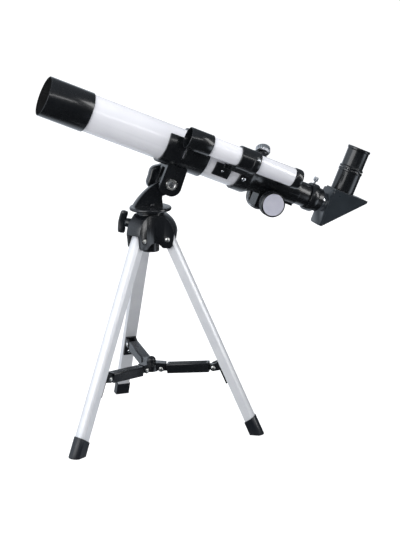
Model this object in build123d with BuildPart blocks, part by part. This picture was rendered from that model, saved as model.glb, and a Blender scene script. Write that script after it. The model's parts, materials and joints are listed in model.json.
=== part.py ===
from build123d import *
import os
from math import acos, cos, pi, radians, sin, tan

# A small 40 mm refractor telescope on an aluminium table tripod, in millimetres.
# The origin is on the floor under the tripod's centre, +Z up. The tube lies in the XZ
# plane, its front end towards -X, and the finder scope is on the -Y side.

# Gaps on the radius: a running fit turns or slides, a close fit is only a seam
RUNNING = 0.05
CLOSE = 0.02

# Tripod
LEG_AZIMUTHS = {"right": -27.2, "rear": 92.8, "front": 212.8}
HINGE_RADIUS = 23.7
HINGE_HEIGHT = 254.4
FOOT_RADIUS = 139.0
LEG_HALF_WIDTH = 8.0
LEG_INNER = -6.0
LEG_SIDE = 3.5
LEG_OUTER = 7.6
LEG_WALL = 1.1
HEAD_TOP = 285.9
HOOD_HALF_WIDTH = 11.0
HOOD_ROOT_HALF_WIDTH = 17.0
HOOD_PAD = 11.6
COLUMN_RADIUS = 11.0
COLUMN_BOTTOM = 237.0
RIVET_RADIUS = 2.0
RIVET_HEAD = 3.3

# Spreader between the legs
HUB_PIN_RADIUS = 13.9
HUB_PIN_HEIGHT = 81.5
LEG_PIN_RADIUS = 82.5
LEG_PIN_HEIGHT = 87.8
ARM_HALF_WIDTH = 6.5
BRACKET_SCREW_DROP = 19.0
TONGUE_HALF_WIDTH = 2.8

# Azimuth bearing and yoke
SPINDLE_RADIUS = 8.0
BRIM_RADIUS = 26.6
BRIM_BOTTOM = 289.7
BRIM_TOP = 293.8
PIVOT_X = 23.0
PIVOT_HEIGHT = 323.0
TONGUE_RADIUS = 11.5
TONGUE_HALF = 6.0
CHEEK_OUTER = 13.0
BOLT_RADIUS = 3.0
PIVOT_BOLT_RADIUS = 4.0
STAR_VALLEY = 20.3
STAR_LOBE = 8.8
STAR_LOBE_CENTRE = 13.4

# Optical tube: stations s run along its axis towards the eyepiece, v is square to it
ALTITUDE = 22.5
AXIS_HEIGHT = 382.7
TUBE_RADIUS = 23.5
TUBE_BORE = 22.3
TUBE_FRONT = -104.0
TUBE_REAR = 134.0
SHIELD_FRONT = -143.0
SHIELD_REAR = -85.4
SHIELD_RADIUS = 25.0
SADDLE_FRONT = 17.5
SADDLE_SPLIT = 41.0
SADDLE_REAR = 75.0
SADDLE_RADIUS = 26.4
LENS_RADIUS = 20.5

# Focuser
COLLAR_SCREW_STATION = 127.5
COLLAR_SCREW_ANGLES = (197, 317, 77)
COLLAR_SCREW_RADIUS = 1.5
COLLAR_FRONT = 121.0
COLLAR_REAR = 138.0
COLLAR_RADIUS = 26.0
BODY_REAR = 211.0
BODY_RADIUS = 17.4
DRAW_RADIUS = 15.5
DRAW_BORE = 14.0
DRAW_FRONT = 136.0
DRAW_REAR = 227.0
MODULE = 0.8
PINION_TEETH = 21
PINION_STATION = 176.0
PINION_DROP = -24.6
SHAFT_RADIUS = 2.5
RACK_PITCH_LINE = PINION_DROP + MODULE * PINION_TEETH / 2
RACK_HALF_WIDTH = 2.5
RACK_FRONT = 139.0
RACK_REAR = 194.0
BACKLASH = 0.12
KNOB_RADIUS = 16.2
KNOB_INNER = 19.0
KNOB_OUTER = 31.0
NOSE_RADIUS = 12.25

# Diagonal and eyepiece
PLATE_FRONT = 253.0
PRISM_FRONT = 256.0
PRISM_TOP = 20.0
PRISM_BOTTOM = -30.0
PRISM_TIP = 304.5
PRISM_HALF_WIDTH = 15.6
EYEPIECE_STATION = 272.0

# Finder scope, beside the tube on the near side
FINDER_Y = -37.5
FINDER_V = 17.0
FINDER_RADIUS = 12.0

REARWARD = Vector(cos(radians(ALTITUDE)), 0, -sin(radians(ALTITUDE)))
UPRIGHT = Vector(sin(radians(ALTITUDE)), 0, cos(radians(ALTITUDE)))
ACROSS = Vector(0, 1, 0)


def at(s, v=0.0, y=0.0):
    """The point at station s along the tube, v above its axis and y across it."""
    return Vector(0, 0, AXIS_HEIGHT) + REARWARD * s + UPRIGHT * v + ACROSS * y


def lengthwise(v=0.0, y=0.0):
    """A plane along the tube: its x runs rearward, its y square to the axis."""
    return Plane(origin=at(0, v, y), x_dir=REARWARD, z_dir=(0, -1, 0))


def crosswise(s, v=0.0, y=0.0):
    """A plane square to the tube at station s: its x is +Y, its y points up."""
    return Plane(origin=at(s, v, y), x_dir=ACROSS, z_dir=REARWARD)


def spoke(s, angle, v=0.0, y=0.0):
    """A plane whose x runs out from the axis at an angle, 0 at the far side, 90 up."""
    out = ACROSS * cos(radians(angle)) + UPRIGHT * sin(radians(angle))
    return Plane(origin=at(s, v, y), x_dir=out, z_dir=REARWARD)


TUBE = lengthwise()
FINDER = lengthwise(FINDER_V, FINDER_Y)
EYEPIECE = Plane(origin=at(EYEPIECE_STATION), x_dir=UPRIGHT, z_dir=(0, -1, 0))
PINION = Plane(origin=at(PINION_STATION, PINION_DROP), x_dir=ACROSS, z_dir=REARWARD)
PIVOT = Plane(origin=(PIVOT_X, 0, PIVOT_HEIGHT), x_dir=ACROSS, z_dir=(1, 0, 0))
UPWARD = Plane(origin=(0, 0, 0), x_dir=(0, 0, 1), z_dir=(0, -1, 0))

LEG_RUN = Vector(FOOT_RADIUS - HINGE_RADIUS, 0, -HINGE_HEIGHT)
LEG_LENGTH = LEG_RUN.length
LEG_DOWN = LEG_RUN.normalized()
LEG_OUT = ACROSS.cross(LEG_DOWN) * -1
LEG = Plane(origin=(HINGE_RADIUS, 0, HINGE_HEIGHT), x_dir=ACROSS, z_dir=LEG_DOWN)

LOCK_AZIMUTH = 152.8
LOCK_TILT = 10.0
LOCK_HEIGHT = 266.5
LOCK_BOSS_END = 26.0
LOCK_OUT = Vector(1, 0, 0).rotate(Axis.Y, -LOCK_TILT).rotate(Axis.Z, LOCK_AZIMUTH)
LOCK_SIDE = Vector(0, 1, 0).rotate(Axis.Z, LOCK_AZIMUTH)
LOCK = Plane(origin=(0, 0, LOCK_HEIGHT), x_dir=LOCK_OUT, z_dir=LOCK_SIDE)


def turned(outline, frame, mode=Mode.ADD):
    """Revolve a closed outline of (distance, radius) points about the frame's x axis."""
    with BuildSketch(frame) as profile:
        with BuildLine():
            Polyline(*outline, close=True)
        make_face()
    revolve(profile.sketch, axis=Axis(frame.origin, frame.x_dir), mode=mode)


def ring(frame, start, end, outer, inner=0.0, mode=Mode.ADD):
    """A plain tube or rod along the frame's x axis."""
    turned([(start, inner), (end, inner), (end, outer), (start, outer)], frame, mode)


def slab(frame, outline, near, far, mode=Mode.ADD):
    """A closed outline on the frame's plane, filled from one height to another."""
    with BuildSketch(frame.offset(near)) as profile:
        with BuildLine():
            Polyline(*outline, close=True)
        make_face()
    extrude(profile.sketch, amount=far - near, mode=mode)


def block(frame, x_range, y_range, z_range, mode=Mode.ADD):
    """A rectangular block given by its ranges in the frame."""
    (x0, x1), (y0, y1) = x_range, y_range
    slab(frame, [(x0, y0), (x1, y0), (x1, y1), (x0, y1)], *z_range, mode)


def screw(frame, tip, seat, shank, head, height):
    """A dome-headed screw along the frame's x axis, its head sitting at seat."""
    with BuildSketch(frame) as profile:
        with BuildLine():
            Polyline((seat, head), (seat, shank), (tip, shank), (tip, 0), (seat + height, 0))
            ThreePointArc((seat + height, 0), (seat + 0.75 * height, 0.68 * head), (seat, head))
        make_face()
    revolve(profile.sketch, axis=Axis(frame.origin, frame.x_dir))


def save(piece, name):
    """Label a finished piece and write it as its own node."""
    piece.label = name
    export_step(piece, f"parts/{name}.step")


os.makedirs("parts", exist_ok=True)


# ---------------------------------------------------------------- tripod head
HOOD_PROFILE_FOOT = [(31.6, 256.5), (30.4, 246.5), (27.5, 243.2), (18.5, 243.2), (13.0, 249.0), (0, 252.0)]

with BuildPart() as hood:
    with BuildSketch(Plane.XZ.offset(-20)) as hood_side:
        with BuildLine():
            Line((0, HEAD_TOP - 0.6), (16.0, HEAD_TOP - 0.6))
            ThreePointArc((16.0, HEAD_TOP - 0.6), (27.0, 276.6), (32.5, 261.5))
            Polyline((32.5, 261.5), *HOOD_PROFILE_FOOT, (0, HEAD_TOP - 0.6))
        make_face()
    extrude(hood_side.sketch, amount=40)
    with BuildSketch(Plane.XY.offset(230)) as hood_plan:
        with BuildLine():
            flare = ThreePointArc((5.0, HOOD_ROOT_HALF_WIDTH), (15.5, 12.5), (27.0, HOOD_HALF_WIDTH))
            Polyline(flare @ 1, (40, HOOD_HALF_WIDTH), (40, 0), (0, 0), (0, HOOD_ROOT_HALF_WIDTH), flare @ 0)
        make_face()
        mirror(about=Plane.XZ)
    extrude(hood_plan.sketch, amount=60, mode=Mode.INTERSECT)
    pads = Plane(origin=(HINGE_RADIUS, 0, HINGE_HEIGHT), x_dir=(0, 1, 0), z_dir=(1, 0, 0))
    ring(pads, -HOOD_PAD, HOOD_PAD, RIVET_HEAD + 0.8)

with BuildPart() as tripod_head:
    for azimuth in LEG_AZIMUTHS.values():
        add(hood.part.rotate(Axis.Z, azimuth))
    ring(UPWARD, 275.0, HEAD_TOP, 17.2)
    ring(UPWARD, COLUMN_BOTTOM, 275.0, COLUMN_RADIUS)
    ring(LOCK, 8.0, LOCK_BOSS_END, 6.0)
    with BuildSketch(Plane.XZ.offset(-LEG_HALF_WIDTH - 0.15)) as slot_side:
        with BuildLine():
            Polyline(
                (COLUMN_RADIUS + 0.8, 238), (COLUMN_RADIUS + 0.8, 262), (16.5, 269), (22, 271.5),
                (26.5, 268.5), (29.8, 263.2), (30.0, 261.3), (50, 261.3), (50, 238), close=True
            )
        make_face()
    slot = extrude(slot_side.sketch, amount=2 * LEG_HALF_WIDTH + 0.3, mode=Mode.PRIVATE)
    for azimuth in LEG_AZIMUTHS.values():
        add(slot.rotate(Axis.Z, azimuth), mode=Mode.SUBTRACT)
        pin_hole = Cylinder(RIVET_RADIUS + CLOSE, 30, rotation=(90, 0, 0), mode=Mode.PRIVATE)
        pin_hole = pin_hole.translate(Vector(HINGE_RADIUS, 0, HINGE_HEIGHT))
        add(pin_hole.rotate(Axis.Z, azimuth), mode=Mode.SUBTRACT)
    ring(UPWARD, 262.0, HEAD_TOP + 1, SPINDLE_RADIUS + RUNNING, mode=Mode.SUBTRACT)
    ring(UPWARD, 243.0, 263.0, BOLT_RADIUS + 0.3, mode=Mode.SUBTRACT)
    ring(UPWARD, COLUMN_BOTTOM - 1, 244.0, 7.0, mode=Mode.SUBTRACT)
    ring(LOCK, 6.0, 30.0, 2.5 + RUNNING, mode=Mode.SUBTRACT)
save(tripod_head.part, "tripod_head")


# ---------------------------------------------------------------- legs, feet, rivets
def leg_section(station, grow=0.0):
    """The leg's D section at a distance down the leg: flat inside, rounded outside."""
    side = LEG_HALF_WIDTH + grow
    inner = LEG_INNER - grow
    with BuildSketch(LEG.offset(station)) as section:
        with BuildLine():
            Polyline((side, LEG_SIDE), (side, inner), (-side, inner), (-side, LEG_SIDE))
            ThreePointArc((-side, LEG_SIDE), (0, LEG_OUTER + grow), (side, LEG_SIDE))
        make_face()
    return section.sketch


LEG_TOP = -6.5
LEG_END = LEG_LENGTH - 12.0
CAP_TOP = LEG_LENGTH - 24.0

with BuildPart() as leg:
    extrude(leg_section(LEG_TOP), amount=LEG_END - LEG_TOP)
    extrude(leg_section(LEG_TOP - 1, -LEG_WALL), amount=LEG_END - LEG_TOP + 2, mode=Mode.SUBTRACT)
    with Locations(Plane(origin=LEG.origin, z_dir=(0, 1, 0))):
        Cylinder(RIVET_RADIUS + CLOSE, 30, mode=Mode.SUBTRACT)

with BuildPart() as foot:
    extrude(leg_section(CAP_TOP, 1.1), amount=LEG_LENGTH + 12 - CAP_TOP)
    extrude(leg_section(CAP_TOP - 1, CLOSE), amount=LEG_END - CAP_TOP + 1.02, mode=Mode.SUBTRACT)
    with Locations(Pos(FOOT_RADIUS, 0, -30)):
        Box(80, 40, 60, mode=Mode.SUBTRACT)
    with BuildSketch(Plane.XZ.offset(-15)) as lip:
        with BuildLine():
            lip_foot = LEG.origin + LEG_DOWN * (CAP_TOP + 3.5) - LEG_OUT * 12
            lip_top = LEG.origin + LEG_DOWN * (CAP_TOP - 1.0) + LEG_OUT * 12
            lip_far = LEG.origin + LEG_DOWN * (CAP_TOP - 8.0) + LEG_OUT * 12
            lip_near = LEG.origin + LEG_DOWN * (CAP_TOP - 8.0) - LEG_OUT * 12
            Polyline(
                (lip_foot.X, lip_foot.Z), (lip_top.X, lip_top.Z),
                (lip_far.X, lip_far.Z), (lip_near.X, lip_near.Z), close=True
            )
        make_face()
    extrude(lip.sketch, amount=30, mode=Mode.SUBTRACT)

with BuildPart() as leg_rivet:
    for side in (1, -1):
        frame = Plane(origin=LEG.origin, x_dir=(0, side, 0), z_dir=(1, 0, 0))
        screw(frame, 0.0, HOOD_PAD, RIVET_RADIUS, RIVET_HEAD, 1.8)

for place, azimuth in LEG_AZIMUTHS.items():
    save(leg.part.rotate(Axis.Z, azimuth), f"leg_{place}")
    save(foot.part.rotate(Axis.Z, azimuth), f"foot_{place}")


# ---------------------------------------------------------------- spreader
LEG_PIN = Vector(LEG_PIN_RADIUS, 0, LEG_PIN_HEIGHT)
BRACKET_PIN_OFFSET = (LEG_PIN - LEG.origin).dot(LEG_OUT)
BRACKET = Plane(origin=LEG_PIN, x_dir=LEG_DOWN, z_dir=(0, -1, 0))
PLATE_FACE = LEG_INNER - CLOSE - BRACKET_PIN_OFFSET

with BuildPart() as leg_bracket:
    block(BRACKET, (-5.5, 25.5), (PLATE_FACE - 2.4, PLATE_FACE), (-7.0, 7.0))
    with BuildSketch(BRACKET.offset(-7.0)) as ear_side:
        with BuildLine():
            Polyline((-4.6, PLATE_FACE - 1), (-4.6, 0), (4.6, 0), (6.2, PLATE_FACE - 1), close=True)
        make_face()
        Circle(4.6)
    extrude(ear_side.sketch, amount=14.0)
    block(BRACKET, (-8, 30), (-8, PLATE_FACE - 2.4), (-4.0, 4.0), Mode.SUBTRACT)
    with Locations(BRACKET):
        Cylinder(RIVET_RADIUS + CLOSE, 30, mode=Mode.SUBTRACT)
    ring(Plane(origin=BRACKET.origin + LEG_DOWN * BRACKET_SCREW_DROP, x_dir=LEG_OUT, z_dir=ACROSS),
         PLATE_FACE - 4, PLATE_FACE + 1, 1.62, mode=Mode.SUBTRACT)

ARM_RUN = Vector(LEG_PIN_RADIUS - HUB_PIN_RADIUS, 0, LEG_PIN_HEIGHT - HUB_PIN_HEIGHT)
ARM_LENGTH = ARM_RUN.length
ARM = Plane(origin=(HUB_PIN_RADIUS, 0, HUB_PIN_HEIGHT), x_dir=ARM_RUN.normalized(), z_dir=(0, -1, 0))
BODY_START = 8.0
BODY_END = ARM_LENGTH - 6.5

with BuildPart() as brace_arm:
    block(ARM, (BODY_START, BODY_END), (-6.0, 6.3), (-ARM_HALF_WIDTH, ARM_HALF_WIDTH))
    fillet(brace_arm.edges().filter_by(Axis(ARM.origin, ARM.x_dir)).group_by(Axis.Z)[-1], 1.6)
    block(ARM, (BODY_START + 4, BODY_END - 4), (-7.0, 4.6), (-ARM_HALF_WIDTH + 1.5, ARM_HALF_WIDTH - 1.5),
          Mode.SUBTRACT)
    block(ARM, (-0.2, BODY_START + 1), (-3.6, 3.6), (-TONGUE_HALF_WIDTH, TONGUE_HALF_WIDTH))
    block(ARM, (BODY_END - 1, ARM_LENGTH + 0.2), (-3.6, 3.6), (-TONGUE_HALF_WIDTH, TONGUE_HALF_WIDTH))
    for pin in (0.0, ARM_LENGTH):
        frame = Plane(origin=ARM.origin + ARM.x_dir * pin, x_dir=ACROSS, z_dir=(1, 0, 0))
        ring(frame, -TONGUE_HALF_WIDTH, TONGUE_HALF_WIDTH, 3.6)
        ring(frame, -10, 10, RIVET_RADIUS + RUNNING, mode=Mode.SUBTRACT)

with BuildPart() as brace_hub:
    ring(UPWARD, HUB_PIN_HEIGHT - 4.2, HUB_PIN_HEIGHT + 5.0, 9.0)
    fillet(brace_hub.edges().group_by(Axis.Z)[-1], 2.0)
    for azimuth in LEG_AZIMUTHS.values():
        out = Vector(1, 0, 0).rotate(Axis.Z, azimuth)
        side = Vector(0, 1, 0).rotate(Axis.Z, azimuth)
        clevis = Plane(origin=out * HUB_PIN_RADIUS + Vector(0, 0, HUB_PIN_HEIGHT), x_dir=out, z_dir=-side)
        block(clevis, (-HUB_PIN_RADIUS + 3, 5.2), (-2.0, 7.6), (-5.6, 5.6))
        pin = Plane(origin=clevis.origin, x_dir=side, z_dir=out)
        ring(pin, -5.6, 5.6, 4.0)
        block(clevis, (-4.6, 8), (-6, 5.4), (-3.0, 3.0), Mode.SUBTRACT)
        ring(pin, -8, 8, RIVET_RADIUS + CLOSE, mode=Mode.SUBTRACT)
    with BuildSketch(UPWARD) as dome:
        with BuildLine():
            Polyline((HUB_PIN_HEIGHT + 4.5, 7.0), (HUB_PIN_HEIGHT + 4.5, 0), (HUB_PIN_HEIGHT + 8.6, 0))
            ThreePointArc(
                (HUB_PIN_HEIGHT + 8.6, 0), (HUB_PIN_HEIGHT + 7.4, 4.6), (HUB_PIN_HEIGHT + 4.5, 7.0)
            )
        make_face()
    revolve(dome.sketch, axis=Axis.Z)
save(brace_hub.part, "brace_hub")

for place, azimuth in LEG_AZIMUTHS.items():
    save(leg_bracket.part.rotate(Axis.Z, azimuth), f"leg_bracket_{place}")
    save(brace_arm.part.rotate(Axis.Z, azimuth), f"brace_arm_{place}")


def cross_rivet(origin, half_span):
    """A rivet across the leg's plane with a dome at both ends."""
    for side in (1, -1):
        frame = Plane(origin=origin, x_dir=(0, side, 0), z_dir=(1, 0, 0))
        screw(frame, 0.0, half_span, RIVET_RADIUS, 2.9, 1.3)


with BuildPart() as bracket_rivet:
    cross_rivet(LEG_PIN, 7.02)

with BuildPart() as hub_rivet:
    cross_rivet(ARM.origin, 5.62)

with BuildPart() as bracket_screw:
    seat = Plane(origin=BRACKET.origin + LEG_DOWN * BRACKET_SCREW_DROP, x_dir=LEG_OUT * -1, z_dir=ACROSS)
    screw(seat, -PLATE_FACE, -PLATE_FACE + 2.42, 1.6, 2.8, 1.4)

for fastener, name in ((leg_rivet, "leg_rivets"), (bracket_rivet, "bracket_rivets"),
                       (hub_rivet, "hub_rivets"), (bracket_screw, "bracket_screws")):
    copies = [fastener.part.rotate(Axis.Z, azimuth) for azimuth in LEG_AZIMUTHS.values()]
    save(Compound(children=copies), name)


# ---------------------------------------------------------------- azimuth lock
with BuildPart() as lock_stud:
    ring(LOCK, SPINDLE_RADIUS + 0.9, 40.0, 2.5)
save(lock_stud.part, "lock_stud")

with BuildPart() as lock_wing:
    ring(LOCK, LOCK_BOSS_END + 0.3, 33.5, 6.0)
    with BuildSketch(Plane(origin=LOCK.origin + LOCK_OUT * 32.5, x_dir=LOCK_SIDE, z_dir=LOCK_OUT)):
        SlotOverall(30.0, 9.0, rotation=90)
    extrude(amount=9.5)
    fillet(lock_wing.faces().sort_by(Axis(LOCK.origin, LOCK_OUT))[-1].edges(), 2.2)
    ring(LOCK, 20.0, 40.05, 2.52, mode=Mode.SUBTRACT)
save(lock_wing.part, "lock_wing")


# ---------------------------------------------------------------- yoke
BRIM = [
    (BRIM_BOTTOM, 0), (BRIM_TOP, 0), (BRIM_TOP, BRIM_RADIUS - 1.7), (BRIM_TOP - 0.5, BRIM_RADIUS - 0.5),
    ((BRIM_TOP + BRIM_BOTTOM) / 2, BRIM_RADIUS), (BRIM_BOTTOM + 0.5, BRIM_RADIUS - 0.5),
    (BRIM_BOTTOM, BRIM_RADIUS - 1.7),
]

with BuildPart() as yoke:
    with BuildSketch(Plane.XZ.offset(-BRIM_RADIUS)) as horn_side:
        with BuildLine():
            Polyline((16.8, BRIM_BOTTOM + 1), (-21.0, BRIM_BOTTOM + 1), (-20.4, BRIM_TOP))
            ThreePointArc((-20.4, BRIM_TOP), (-6.4, 312.2), (13.5, 325.8))
            Polyline((13.5, 325.8), (30.5, 314.5), (22.0, 311.4), (16.2, 308.4), (15.4, 303.0),
                     (16.8, BRIM_BOTTOM + 1))
        make_face()
        with Locations((PIVOT_X, PIVOT_HEIGHT)):
            Circle(TONGUE_RADIUS)
    extrude(horn_side.sketch, amount=2 * BRIM_RADIUS)
    with BuildSketch(Plane.YZ.offset(-40)) as horn_front:
        with BuildLine():
            flank = ThreePointArc((12.6, BRIM_TOP), (10.6, 304.4), (8.0, 317.0))
            Polyline(flank @ 1, (TONGUE_HALF, 323.0), (TONGUE_HALF, 340), (0, 340), (0, BRIM_BOTTOM),
                     (12.6, BRIM_BOTTOM), flank @ 0)
        make_face()
        mirror(about=Plane.XZ)
    extrude(horn_front.sketch, amount=100, mode=Mode.INTERSECT)
    for side in (1, -1):
        with BuildSketch(Plane.XZ.offset(side * 3.5)) as pocket:
            with BuildLine():
                Polyline((-16.6, BRIM_TOP + 0.6), (13.2, BRIM_TOP + 0.6), (12.0, 307.5), (8.2, 319.0))
                ThreePointArc((8.2, 319.0), (-5.2, 308.6), (-16.6, BRIM_TOP + 0.6))
            make_face()
        extrude(pocket.sketch, amount=side * 30, mode=Mode.SUBTRACT)
    ring(UPWARD, BRIM_BOTTOM, 306.0, 60.0, BRIM_RADIUS - 0.6, Mode.SUBTRACT)
    turned(BRIM, UPWARD)
    turned([(HEAD_TOP + RUNNING, 0), (HEAD_TOP + RUNNING, 17.2), (HEAD_TOP + 0.9, 18.2),
            (HEAD_TOP + 2.2, 18.2), (BRIM_BOTTOM + 0.5, 17.0), (BRIM_BOTTOM + 0.5, 0)], UPWARD)
    ring(UPWARD, 262.2, BRIM_BOTTOM + 0.5, SPINDLE_RADIUS)
    ring(UPWARD, 262.0, 276.0, BOLT_RADIUS + 0.01, mode=Mode.SUBTRACT)
    for side in (1, -1):
        boss = Plane(origin=(1.5, 0, BRIM_TOP + 2.0), x_dir=(0, side, 0), z_dir=(1, 0, 0))
        screw(boss, 3.0, 5.0, 2.4, 2.6, 1.0)
        ring(PIVOT, side * TONGUE_HALF, side * 30.0, 17.2, mode=Mode.SUBTRACT)
    ring(PIVOT, -10, 10, PIVOT_BOLT_RADIUS + RUNNING, mode=Mode.SUBTRACT)
save(yoke.part, "yoke")

with BuildPart() as azimuth_bolt:
    ring(UPWARD, 238.5, 243.9, 5.4)
    ring(UPWARD, 243.0, 275.9, BOLT_RADIUS)
save(azimuth_bolt.part, "azimuth_bolt")


# ---------------------------------------------------------------- saddle and altitude clamp
def wedge(frame, reach, start, end, length, mode):
    """A sector about the frame's origin between two angles, as tall as length."""
    with BuildSketch(frame) as sector:
        with BuildLine():
            rim = [Vector(reach, 0).rotate(Axis.Z, angle) for angle in (start, (start + end) / 2, end)]
            Polyline((0, 0), *rim, close=True)
        make_face()
    extrude(sector.sketch, amount=length, mode=mode)


with BuildPart() as saddle:
    ring(TUBE, SADDLE_FRONT, SADDLE_REAR, SADDLE_RADIUS)
    with BuildSketch(lengthwise(0, CHEEK_OUTER)) as cheek:
        with BuildLine():
            Polyline((31.5, -20), (31.5, -49))
            ThreePointArc((31.5, -49), (33.6, -57.5), (41.0, -61.0))
            Line((41.0, -61.0), (48.5, -61.0))
            ThreePointArc((48.5, -61.0), (56.4, -56.5), (59.0, -46.0))
            Polyline((59.0, -46.0), (57.5, -20), (31.5, -20))
        make_face()
    extrude(cheek.sketch, amount=2 * CHEEK_OUTER)
    block(TUBE, (25, 70), (-70, -29.5), (-TONGUE_HALF - 0.1, TONGUE_HALF + 0.1), Mode.SUBTRACT)
    ring(TUBE, SADDLE_FRONT - 1, SADDLE_REAR + 1, TUBE_RADIUS + CLOSE, mode=Mode.SUBTRACT)
    wedge(crosswise(SADDLE_FRONT - 1), 60, 33, 147, SADDLE_SPLIT - SADDLE_FRONT + 1, Mode.SUBTRACT)
    wedge(crosswise(SADDLE_SPLIT), 60, -27, 207, 2.3, Mode.SUBTRACT)
    ring(PIVOT, -20, 20, PIVOT_BOLT_RADIUS + CLOSE, mode=Mode.SUBTRACT)
save(saddle.part, "saddle")

with BuildPart() as altitude_bolt:
    ring(PIVOT, -CHEEK_OUTER - 5.2, 27.0, PIVOT_BOLT_RADIUS)
save(altitude_bolt.part, "altitude_bolt")

with BuildPart() as altitude_nut:
    ring(PIVOT, -CHEEK_OUTER - 1.5, -CHEEK_OUTER - CLOSE, 6.4)
    nut_face = Plane(origin=(PIVOT_X, -CHEEK_OUTER - 1.4, PIVOT_HEIGHT), x_dir=(1, 0, 0), z_dir=(0, -1, 0))
    with BuildSketch(nut_face):
        RegularPolygon(7.5, 6)
    extrude(amount=3.2)
    ring(PIVOT, -30, 0, PIVOT_BOLT_RADIUS + CLOSE, mode=Mode.SUBTRACT)
save(altitude_nut.part, "altitude_nut")

with BuildPart() as altitude_knob:
    ring(PIVOT, CHEEK_OUTER + 0.1, 20.0, 9.0)
    knob_face = Plane(origin=(PIVOT_X, 17.0, PIVOT_HEIGHT), x_dir=(1, 0, 0), z_dir=(0, 1, 0))
    with BuildSketch(knob_face):
        Circle(STAR_VALLEY)
        with PolarLocations(STAR_LOBE_CENTRE, 6, start_angle=-13):
            Circle(STAR_LOBE)
    extrude(amount=13.0)
    ring(PIVOT, 0, 27.2, PIVOT_BOLT_RADIUS + CLOSE, mode=Mode.SUBTRACT)
save(altitude_knob.part, "altitude_knob")


# ---------------------------------------------------------------- main tube and objective
with BuildPart() as main_tube:
    ring(TUBE, TUBE_FRONT, TUBE_REAR, TUBE_RADIUS, TUBE_BORE)
    for angle in COLLAR_SCREW_ANGLES:
        ring(spoke(COLLAR_SCREW_STATION, angle), 15, 30, COLLAR_SCREW_RADIUS + CLOSE, mode=Mode.SUBTRACT)
save(main_tube.part, "main_tube")

with BuildPart() as dew_shield:
    turned([(SHIELD_FRONT, 23.9), (-108.0, 23.9), (-106.0, TUBE_RADIUS + RUNNING),
            (SHIELD_REAR, TUBE_RADIUS + RUNNING), (SHIELD_REAR, SHIELD_RADIUS - 0.5),
            (SHIELD_REAR - 0.5, SHIELD_RADIUS), (SHIELD_FRONT + 0.5, SHIELD_RADIUS),
            (SHIELD_FRONT, SHIELD_RADIUS - 0.4)], TUBE)
save(dew_shield.part, "dew_shield")

CELL = TUBE_BORE - CLOSE
with BuildPart() as objective_cell:
    turned([(-99.0, LENS_RADIUS + 0.05), (-88.0, LENS_RADIUS + 0.05), (-88.0, 19.6), (-82.0, 19.6),
            (-82.0, CELL), (-99.0, CELL)], TUBE)
save(objective_cell.part, "objective_cell")


def spherical(vertex, edge, radius):
    """An arc from a lens's vertex on the axis to its edge, centred on the axis."""
    curve = (radius ** 2 + (edge - vertex) ** 2) / (2 * (edge - vertex))
    half = radius / 2
    bow = curve - (1 if curve > 0 else -1) * (curve ** 2 - half ** 2) ** 0.5
    ThreePointArc((vertex, 0), (vertex + bow, half), (edge, radius))


def lens(frame, front, front_edge, rear_edge, rear, radius):
    """A lens between two vertices on the frame's x axis, with a ground edge."""
    with BuildSketch(frame) as profile:
        with BuildLine():
            spherical(front, front_edge, radius)
            Line((front_edge, radius), (rear_edge, radius))
            spherical(rear, rear_edge, radius)
            Line((rear, 0), (front, 0))
        make_face()
    revolve(profile.sketch, axis=Axis(frame.origin, frame.x_dir))


with BuildPart() as crown_lens:
    lens(TUBE, -96.6, -95.2, -92.8, -91.4, LENS_RADIUS)
save(crown_lens.part, "crown_lens")

with BuildPart() as flint_lens:
    lens(TUBE, -91.2, -92.6, -88.05, -88.6, LENS_RADIUS)
save(flint_lens.part, "flint_lens")

with BuildPart() as retaining_ring:
    turned([(-95.55, 19.4), (-95.22, LENS_RADIUS), (-98.6, LENS_RADIUS), (-98.6, 20.2)], TUBE)
save(retaining_ring.part, "retaining_ring")

with BuildPart() as light_baffle:
    turned([(10, 15.0), (11, 15.0), (11, CELL - 0.8), (22, CELL - 0.8), (22, CELL), (10, CELL)], TUBE)
save(light_baffle.part, "light_baffle")


# ---------------------------------------------------------------- focuser
HOUSING_BOTTOM = -34.4
BODY_OUTLINE = [
    (COLLAR_FRONT, TUBE_RADIUS + CLOSE), (TUBE_REAR + 0.1, TUBE_RADIUS + CLOSE), (TUBE_REAR + 0.1, 20.8),
    (COLLAR_REAR, 20.8), (148.0, 16.5), (148.0, DRAW_RADIUS + RUNNING), (BODY_REAR, DRAW_RADIUS + RUNNING),
    (BODY_REAR, BODY_RADIUS), (180.0, BODY_RADIUS + 0.3), (156.0, 18.6), (148.0, 20.6),
    (COLLAR_REAR + 1.0, COLLAR_RADIUS - 0.6), (COLLAR_REAR - 0.8, COLLAR_RADIUS),
    (COLLAR_FRONT + 0.6, COLLAR_RADIUS), (COLLAR_FRONT, COLLAR_RADIUS - 0.6),
]

with BuildPart() as focuser_body:
    turned(BODY_OUTLINE, TUBE)
    block(TUBE, (160.0, 192.5), (HOUSING_BOTTOM, -15.8), (-11.0, 11.0))
    block(TUBE, (148.0, BODY_REAR), (-19.2, -15.8), (-4.6, 4.6))
    ring(TUBE, 146.0, BODY_REAR + 1, DRAW_RADIUS + RUNNING, mode=Mode.SUBTRACT)
    block(TUBE, (140.0, BODY_REAR + 1), (-17.25, -10.0), (-RACK_HALF_WIDTH - 0.4, RACK_HALF_WIDTH + 0.4),
          Mode.SUBTRACT)
    ring(PINION, -3.4, 3.4, 9.5, mode=Mode.SUBTRACT)
    block(TUBE, (166.5, 185.5), (-40, PINION_DROP), (-3.4, 3.4), Mode.SUBTRACT)
    ring(PINION, -20, 20, SHAFT_RADIUS + RUNNING, mode=Mode.SUBTRACT)
    for angle in COLLAR_SCREW_ANGLES:
        ring(spoke(COLLAR_SCREW_STATION, angle), 15, 30, COLLAR_SCREW_RADIUS + CLOSE, mode=Mode.SUBTRACT)
save(focuser_body.part, "focuser_body")

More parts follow.
